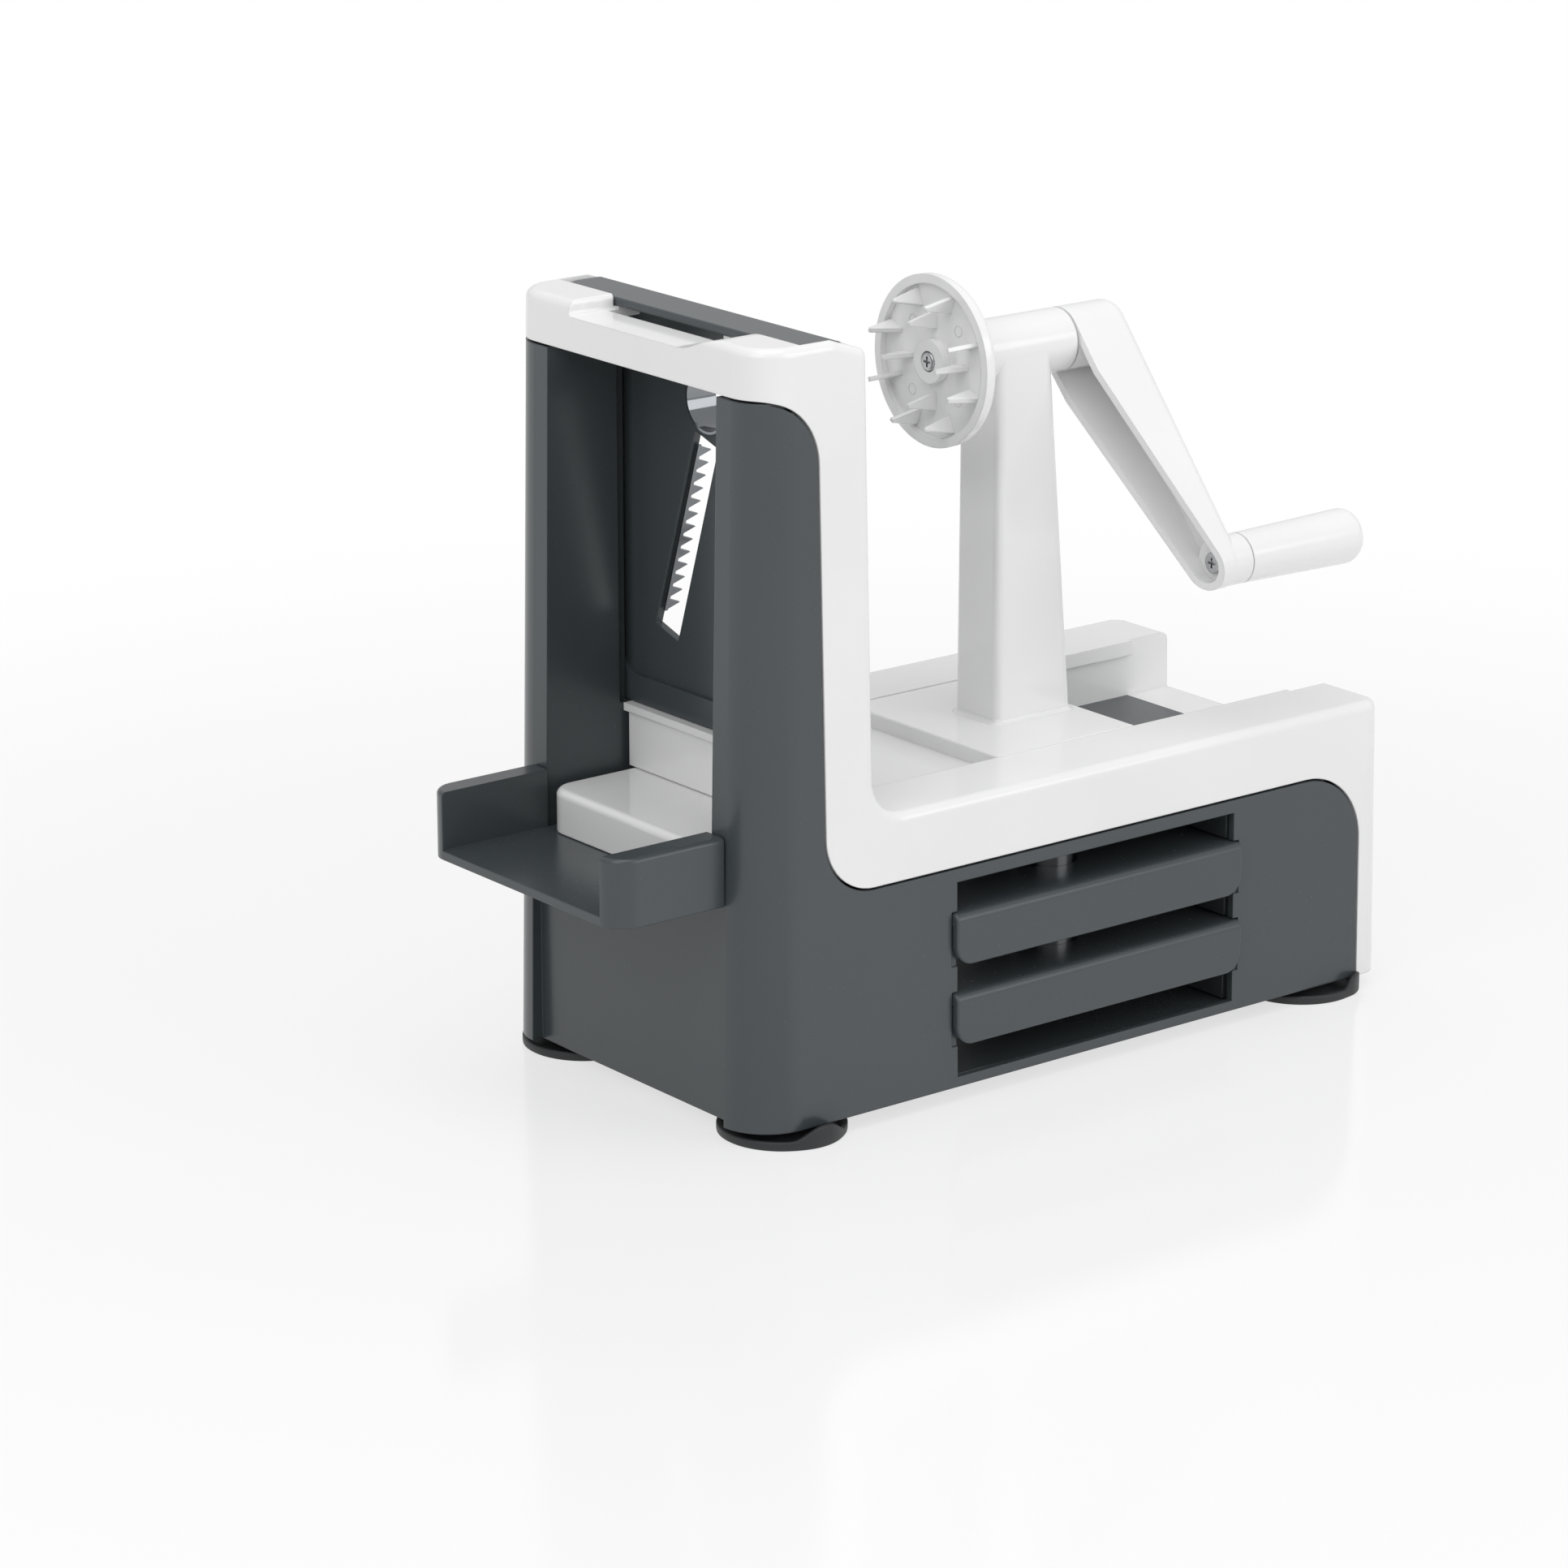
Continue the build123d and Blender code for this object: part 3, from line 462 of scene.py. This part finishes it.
@dataclass
class SuctionFeet:
    """Four rubber cups under the corners, each with a lip that rises into a pull tab."""

    radius_mm: float = 20.5
    hollow_depth_mm: float = 1.9
    hollow_inset_mm: float = 1.6
    # The edge stands back from the radius where there is no tab.
    edge_inset_mm: float = 0.45
    # Rings of the sealing edge: how far inside the edge each lies, and its height.
    sealing_edge_mm: tuple[tuple[float, float], ...] = ((0.5, 0.0), (0.1, 0.25), (0.0, 0.8))
    lip_height_mm: float = 2.9
    lip_width_mm: float = 1.7
    lip_round_mm: float = 0.5
    gutter_width_mm: float = 1.5
    gutter_height_mm: float = 1.15
    # The boss swells from the gutter to the shoulder, where the neck begins.
    boss_width_mm: float = 4.5
    boss_power: float = 1.5
    shoulder_mm: float = 4.6
    neck_radius_mm: float = 4.0
    neck_flare_mm: float = 0.5
    neck_flare_height_mm: float = 0.4
    neck_top_mm: float = 7.7
    head_foot_mm: float = 7.9
    head_overhang_mm: float = 1.2
    head_edge_mm: float = 0.1
    head_flat_mm: float = 0.05
    top_mm: float = 10.6
    # Shares of the way along a stretch of the profile: first, last and how many.
    hollow_steps: tuple[float, float, int] = (0.02, 1.0, 14)
    inside_steps: tuple[float, float, int] = (0.2, 1.0, 6)
    boss_steps: tuple[float, float, int] = (0.08, 1.0, 12)
    head_steps: tuple[float, float, int] = (0.1, 0.97, 8)
    lip_steps: int = 13
    turn_steps: int = 180
    front_tab: PullTab = PullTab(
        start=-121.0, end=-56.0, height_mm=6.8, start_ramp=32.0, end_ramp=26.0
    )
    rear_tab: PullTab = PullTab(start=-80.0, end=-49.0, height_mm=6.6, start_ramp=15.0, end_ramp=4.0)

    def build(self, finishes: Finishes) -> None:
        """Models the cups over their plain solids.

        Args:
            finishes: Store of the finishes.
        """
        tabs = {
            "front_near": self.front_tab,
            "front_far": self.front_tab.mirrored(),
            "rear_near": self.rear_tab,
            "rear_far": self.rear_tab.mirrored(),
        }
        for place, tab in tabs.items():
            node = f"suction_foot_{place}"
            low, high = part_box(node)
            centre_y = (low[1] + high[1]) / 2
            centre_x = low[0] + self.radius_mm * MM
            if "rear" in place:
                centre_x = high[0] - self.radius_mm * MM
            points = self._cup(tab) * MM
            points += np.array([centre_x, centre_y, 0.0])
            cup = lathe_object(f"rubber_cup_{place}", points)
            cup.data.materials.append(finishes.get(Finish.FOOT_RUBBER))
            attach(cup, "base")
            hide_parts(node)
            LOG.info("%s: rubber cup", cup.name)

    def _cup(self, tab: PullTab) -> np.ndarray:
        """Works out one cup as a surface of revolution whose lip swells into a tab.

        The profile runs from the axis under the cup, down its hollow to the sealing edge, up and
        over the lip, down into the gutter, and up the neck to the button head. Only the lip and
        the edge change round the cup: they blend to the tab's height and the full radius by the
        tab's share. The hollow is a parabola, the lip's top half an ellipse, the side inside it
        straight, the boss a power of the way, and the head a quarter of an ellipse.

        Args:
            tab: The tab of this cup.

        Returns:
            Points in millimetres: profile steps by angles by three.
        """
        turn = np.linspace(0, 2 * np.pi, self.turn_steps, endpoint=False)
        share = tab.share(turn)
        edge = blend(self.radius_mm - self.edge_inset_mm, self.radius_mm, share)
        lip = blend(self.lip_height_mm, tab.height_mm, share)
        half = self.lip_width_mm / 2
        gutter = self.radius_mm - self.lip_width_mm - self.gutter_width_mm
        boss = self.neck_radius_mm + self.boss_width_mm
        head = self.neck_radius_mm + self.head_overhang_mm
        rows: list[np.ndarray] = []

        def ring(radius: np.ndarray | float, height: np.ndarray | float) -> None:
            """Adds a ring of the given radius and height.

            Args:
                radius: Radius at each angle.
                height: Height at each angle.
            """
            radius = np.broadcast_to(radius, turn.shape)
            height = np.broadcast_to(height, turn.shape)
            rows.append(np.stack([radius * np.cos(turn), radius * np.sin(turn), height], -1))

        for way in np.linspace(*self.hollow_steps):
            ring(way * (self.radius_mm - self.hollow_inset_mm), self.hollow_depth_mm * (1 - way**2))
        for inset, height in self.sealing_edge_mm:
            ring(edge - inset, height)
        for bend in np.linspace(0, np.pi, self.lip_steps):
            ring(edge - half + half * np.cos(bend), lip - self.lip_round_mm * (1 - np.sin(bend)))
        for way in np.linspace(*self.inside_steps):
            ring(blend(edge - self.lip_width_mm, gutter, way),
                 blend(lip - self.lip_round_mm, self.gutter_height_mm, way))
        for way in np.linspace(*self.boss_steps):
            ring(blend(gutter, boss, way),
                 blend(self.gutter_height_mm, self.shoulder_mm, way**self.boss_power))
        ring(self.neck_radius_mm + self.neck_flare_mm, self.shoulder_mm)
        ring(self.neck_radius_mm, self.shoulder_mm + self.neck_flare_height_mm)
        ring(self.neck_radius_mm, self.neck_top_mm)
        ring(head - self.head_edge_mm, self.head_foot_mm)
        for rise in np.linspace(*self.head_steps) * np.pi / 2:
            ring(head * np.cos(rise) + self.head_flat_mm,
                 blend(self.head_foot_mm, self.top_mm, np.sin(rise)))
        return np.stack(rows)


@dataclass
class BladePlates:
    """Three grey plates with their steel: one in use and two in the bay."""

    sets: tuple[str, ...] = ("mounted", "upper_stored", "lower_stored")
    combed: tuple[str, ...] = ("mounted", "upper_stored")

    def build(self, finishes: Finishes) -> None:
        """Dresses the plates and their steel.

        Args:
            finishes: Store of the finishes.
        """
        finishes.dress(Finish.GREY_ABS, [f"{s}_plate" for s in self.sets])
        steel = [f"{s}_{part}" for s in self.sets for part in ("blade", "ring")]
        steel += [f"{s}_comb" for s in self.combed]
        finishes.dress(Finish.BLADE_STEEL, steel)


@dataclass
class Carriage:
    """Sled, column and bushes that carry the drive."""

    white: tuple[str, ...] = ("carriage_sled", "crank_column")
    foot_front_mm: float = 135.5
    foot_length_mm: float = 31.6
    foot_width_mm: float = 21.6
    foot_round_mm: float = 3.0
    fillet_mm: float = 1.5
    # Corners of the section that are hidden: in the column, low and high, and under the deck.
    foot_inside_mm: float = 0.6
    top_inside_mm: float = 0.25
    under_deck_mm: float = 0.3
    path_steps: int = 96
    arc_steps: int = 9

    def build(self, finishes: Finishes) -> None:
        """Dresses the carriage, and adds the fillet of the column's foot.

        Args:
            finishes: Store of the finishes.
        """
        finishes.dress(Finish.WHITE_ABS, self.white)
        finishes.dress(Finish.BUSH_ACETAL, ("front_bush", "rear_bush"))
        finishes.dress(Finish.SCREW_ZINC, ("column_screws",))
        skirt = loop_object("column_foot_fillet", self._skirt() * MM)
        skirt.data.materials.append(finishes.get(Finish.WHITE_ABS))
        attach(skirt, "carriage")
        LOG.info("%s: moulded fillet", skirt.name)

    def _skirt(self) -> np.ndarray:
        """Works out the fillet where the column rises from the plinth.

        The path is a rounded rectangle: at each angle, the corner's centre plus the corner radius
        along that direction. The angles lie half a step off the axes, so each has one corner. The
        section is a concave quarter round from the column down to the deck, closed inside the
        solids.

        Returns:
            Points in millimetres: section steps by path steps by three.
        """
        turn = np.linspace(0, 2 * np.pi, self.path_steps, endpoint=False) + np.pi / self.path_steps
        across, along = np.cos(turn), np.sin(turn)
        arc = np.linspace(0, np.pi / 2, self.arc_steps)[::-1]
        out = np.concatenate(
            [[-self.foot_inside_mm, -self.top_inside_mm], self.fillet_mm * (1 - np.sin(arc)),
             [self.fillet_mm]]
        )
        up = np.concatenate(
            [[-self.under_deck_mm, self.fillet_mm], self.fillet_mm * (1 - np.cos(arc)),
             [-self.under_deck_mm]]
        )
        radius = self.foot_round_mm + out[:, None]
        half_x = self.foot_length_mm / 2 - self.foot_round_mm
        half_y = self.foot_width_mm / 2 - self.foot_round_mm
        centre_x = PANEL_X_MM + self.foot_front_mm + self.foot_length_mm / 2
        x = centre_x + half_x * np.sign(across) + radius * across
        y = half_y * np.sign(along) + radius * along
        z = np.broadcast_to(DECK_Z_MM + up[:, None], x.shape)
        return np.stack([x, y, z], -1)


@dataclass
class Crank:
    """Shaft, food holder, arm and turning grip."""

    white: tuple[str, ...] = ("food_holder", "crank_arm", "crank_grip")
    mark_circle_mm: float = 15.6
    mark_radius_mm: float = 1.7
    mark_wire_mm: float = 0.16
    mark_angles: tuple[float, ...] = (45.0, 135.0, 225.0, 315.0)
    wire_steps: int = 12
    ring_steps: int = 40
    holder_web_mm: float = 2.5
    axis_z_mm: float = 216.0

    def build(self, finishes: Finishes) -> None:
        """Dresses the crank, and adds the ejector marks of the food holder.

        Args:
            finishes: Store of the finishes.
        """
        finishes.dress(Finish.WHITE_ABS, self.white)
        finishes.dress(Finish.SHAFT_STEEL, ("drive_shaft", "grip_spindle"))
        finishes.dress(Finish.SCREW_ZINC, ("holder_screw", "grip_screw"))
        face_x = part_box("food_holder")[1][0] / MM - self.holder_web_mm
        for number, angle in enumerate(self.mark_angles):
            mark = loop_object(f"ejector_mark_{number}", self._mark(face_x, angle) * MM)
            mark.data.materials.append(finishes.get(Finish.WHITE_ABS))
            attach(mark, "crank")
            LOG.info("%s: ejector mark", mark.name)

    def _mark(self, face_x: float, angle: float) -> np.ndarray:
        """Works out the raised ring that an ejector pin leaves on the face of the food holder.

        It is a torus: a small circle carried round a larger one that lies in the face.

        Args:
            face_x: Face of the holder, in millimetres.
            angle: Direction of the mark from the shaft, in degrees.

        Returns:
            Points in millimetres: wire steps by ring steps by three.
        """
        wire, ring = np.meshgrid(
            np.linspace(0, 2 * np.pi, self.wire_steps, endpoint=False),
            np.linspace(0, 2 * np.pi, self.ring_steps, endpoint=False),
            indexing="ij",
        )
        radius = self.mark_radius_mm + self.mark_wire_mm * np.cos(wire)
        centre_y = self.mark_circle_mm * math.cos(math.radians(angle))
        centre_z = self.axis_z_mm + self.mark_circle_mm * math.sin(math.radians(angle))
        x = face_x + self.mark_wire_mm * np.sin(wire)
        return np.stack([x, centre_y + radius * np.cos(ring), centre_z + radius * np.sin(ring)], -1)


# ------------------------------------------------------------------ studio
@dataclass(frozen=True)
class Softbox:
    """One large round area lamp."""

    name: str
    place: tuple[float, float, float]
    size: float
    watts: float

    def build(self, target: Vector) -> None:
        """Hangs the lamp and points it.

        Args:
            target: Point that the lamp faces.
        """
        data = bpy.data.lights.new(self.name, "AREA")
        data.shape = "DISK"
        data.size = self.size
        data.energy = self.watts
        lamp = bpy.data.objects.new(self.name, data)
        lamp.location = self.place
        lamp.rotation_euler = (target - Vector(self.place)).to_track_quat("-Z", "Y").to_euler()
        bpy.context.scene.collection.objects.link(lamp)


@dataclass
class Studio:
    """White floor in an evenly lit room, with soft lamps and the camera."""

    floor_reach: float = 6.0
    floor_colour: str = "#F6F6F6"
    floor_roughness: float = 0.12
    floor_ior: float = 1.49
    near_share: float = 0.68
    clear_from: float = 0.22
    clear_to: float = 0.7
    world_strength: float = 0.64
    lens_mm: float = 125.26
    camera_place: tuple[float, float, float] = (-1.0501, -1.2735, 0.5883)
    azimuth: float = -38.2
    elevation: float = 17.1
    lamp_target: tuple[float, float, float] = (0.0, 0.0, 0.12)
    lamps: tuple[Softbox, ...] = (
        Softbox("softbox_top", place=(-0.1, -0.2, 1.5), size=1.1, watts=4.9),
        Softbox("softbox_left", place=(-1.3, -0.6, 1.25), size=1.2, watts=6.0),
        Softbox("softbox_near", place=(0.7, -1.5, 0.8), size=1.2, watts=6.6),
    )

    def build(self) -> None:
        """Builds the floor, the world, the lamps and the camera."""
        self._floor()
        self._world()
        for lamp in self.lamps:
            lamp.build(Vector(self.lamp_target))
        self._camera()

    def _floor(self) -> None:
        """Lays the floor: a flat square at the height of the table."""
        reach = self.floor_reach
        corners = [(-reach, -reach, 0), (reach, -reach, 0), (reach, reach, 0), (-reach, reach, 0)]
        mesh = bpy.data.meshes.new("floor")
        mesh.from_pydata(corners, [], [(0, 1, 2, 3)])
        mesh.materials.append(self._floor_material())
        floor = bpy.data.objects.new("floor", mesh)
        bpy.context.scene.collection.objects.link(floor)

    def _floor_material(self) -> bpy.types.Material:
        """Builds the white floor: a glossy sheet under the lamps, mixed with plain white.

        The plain white shows to the camera and in reflections, and lights nothing else. Its share
        grows as a smooth step with the distance from the origin, from near_share at clear_from to
        1 at clear_to.

        Returns:
            The material.
        """
        material, tree = empty_material("white_acrylic_sheet")
        body = add_node(
            tree,
            "ShaderNodeBsdfPrincipled",
            {"Base Color": linear(self.floor_colour), "Roughness": self.floor_roughness,
             "IOR": self.floor_ior, "Coat Weight": 1.0, "Coat Roughness": self.floor_roughness},
        )
        glow = add_node(tree, "ShaderNodeEmission", {"Color": WHITE, "Strength": 1.0})
        place = add_node(tree, "ShaderNodeTexCoord").outputs["Object"]
        distance = add_node(tree, "ShaderNodeVectorMath", {0: place}, operation="LENGTH")
        share = add_node(
            tree,
            "ShaderNodeMapRange",
            {"Value": distance.outputs["Value"], "From Min": self.clear_from,
             "From Max": self.clear_to, "To Min": self.near_share, "To Max": 1.0},
            interpolation_type="SMOOTHSTEP",
        )
        rays = add_node(tree, "ShaderNodeLightPath")
        seen = add_node(
            tree,
            "ShaderNodeMath",
            {0: rays.outputs["Is Camera Ray"], 1: rays.outputs["Is Glossy Ray"]},
            operation="MAXIMUM",
        )
        shown = add_node(
            tree,
            "ShaderNodeMath",
            {0: seen.outputs[0], 1: share.outputs["Result"]},
            operation="MULTIPLY",
        )
        mix = add_node(
            tree, "ShaderNodeMixShader", {0: shown.outputs[0], 1: body.outputs[0], 2: glow.outputs[0]}
        )
        add_node(tree, "ShaderNodeOutputMaterial", {"Surface": mix.outputs[0]})
        return material

    def _world(self) -> None:
        """Lights the room evenly, and shows the camera plain white where nothing is."""
        world = bpy.data.worlds.new("studio")
        world.use_nodes = True
        tree = world.node_tree
        tree.nodes.clear()
        rays = add_node(tree, "ShaderNodeLightPath")
        room = add_node(
            tree, "ShaderNodeBackground", {"Color": WHITE, "Strength": self.world_strength}
        )
        white = add_node(tree, "ShaderNodeBackground", {"Color": WHITE, "Strength": 1.0})
        mix = add_node(
            tree,
            "ShaderNodeMixShader",
            {0: rays.outputs["Is Camera Ray"], 1: room.outputs[0], 2: white.outputs[0]},
        )
        add_node(tree, "ShaderNodeOutputWorld", {"Surface": mix.outputs[0]})
        bpy.context.scene.world = world

    def _camera(self) -> None:
        """Sets the camera at the photographed angle."""
        a, e = math.radians(self.azimuth), math.radians(self.elevation)
        back = Vector((math.sin(a) * math.cos(e), -math.cos(a) * math.cos(e), math.sin(e)))
        data = bpy.data.cameras.new("camera")
        data.lens = self.lens_mm
        data.sensor_width = 36.0
        data.clip_start = 0.05
        data.clip_end = 50.0
        camera = bpy.data.objects.new("camera", data)
        camera.location = self.camera_place
        camera.rotation_euler = (-back).to_track_quat("-Z", "Y").to_euler()
        bpy.context.scene.collection.objects.link(camera)
        bpy.context.scene.camera = camera
        bpy.context.scene.view_settings.view_transform = "Standard"


def main() -> None:
    """Builds each sub-assembly in turn, then the studio."""
    logging.basicConfig(level=logging.INFO, format="%(name)s %(message)s")
    finishes = Finishes()
    for part in (Housing(), SuctionFeet(), BladePlates(), Carriage(), Crank()):
        part.build(finishes)
        LOG.info("%s is dressed", type(part).__name__)
    Studio().build()


if __name__ == "__main__":
    main()
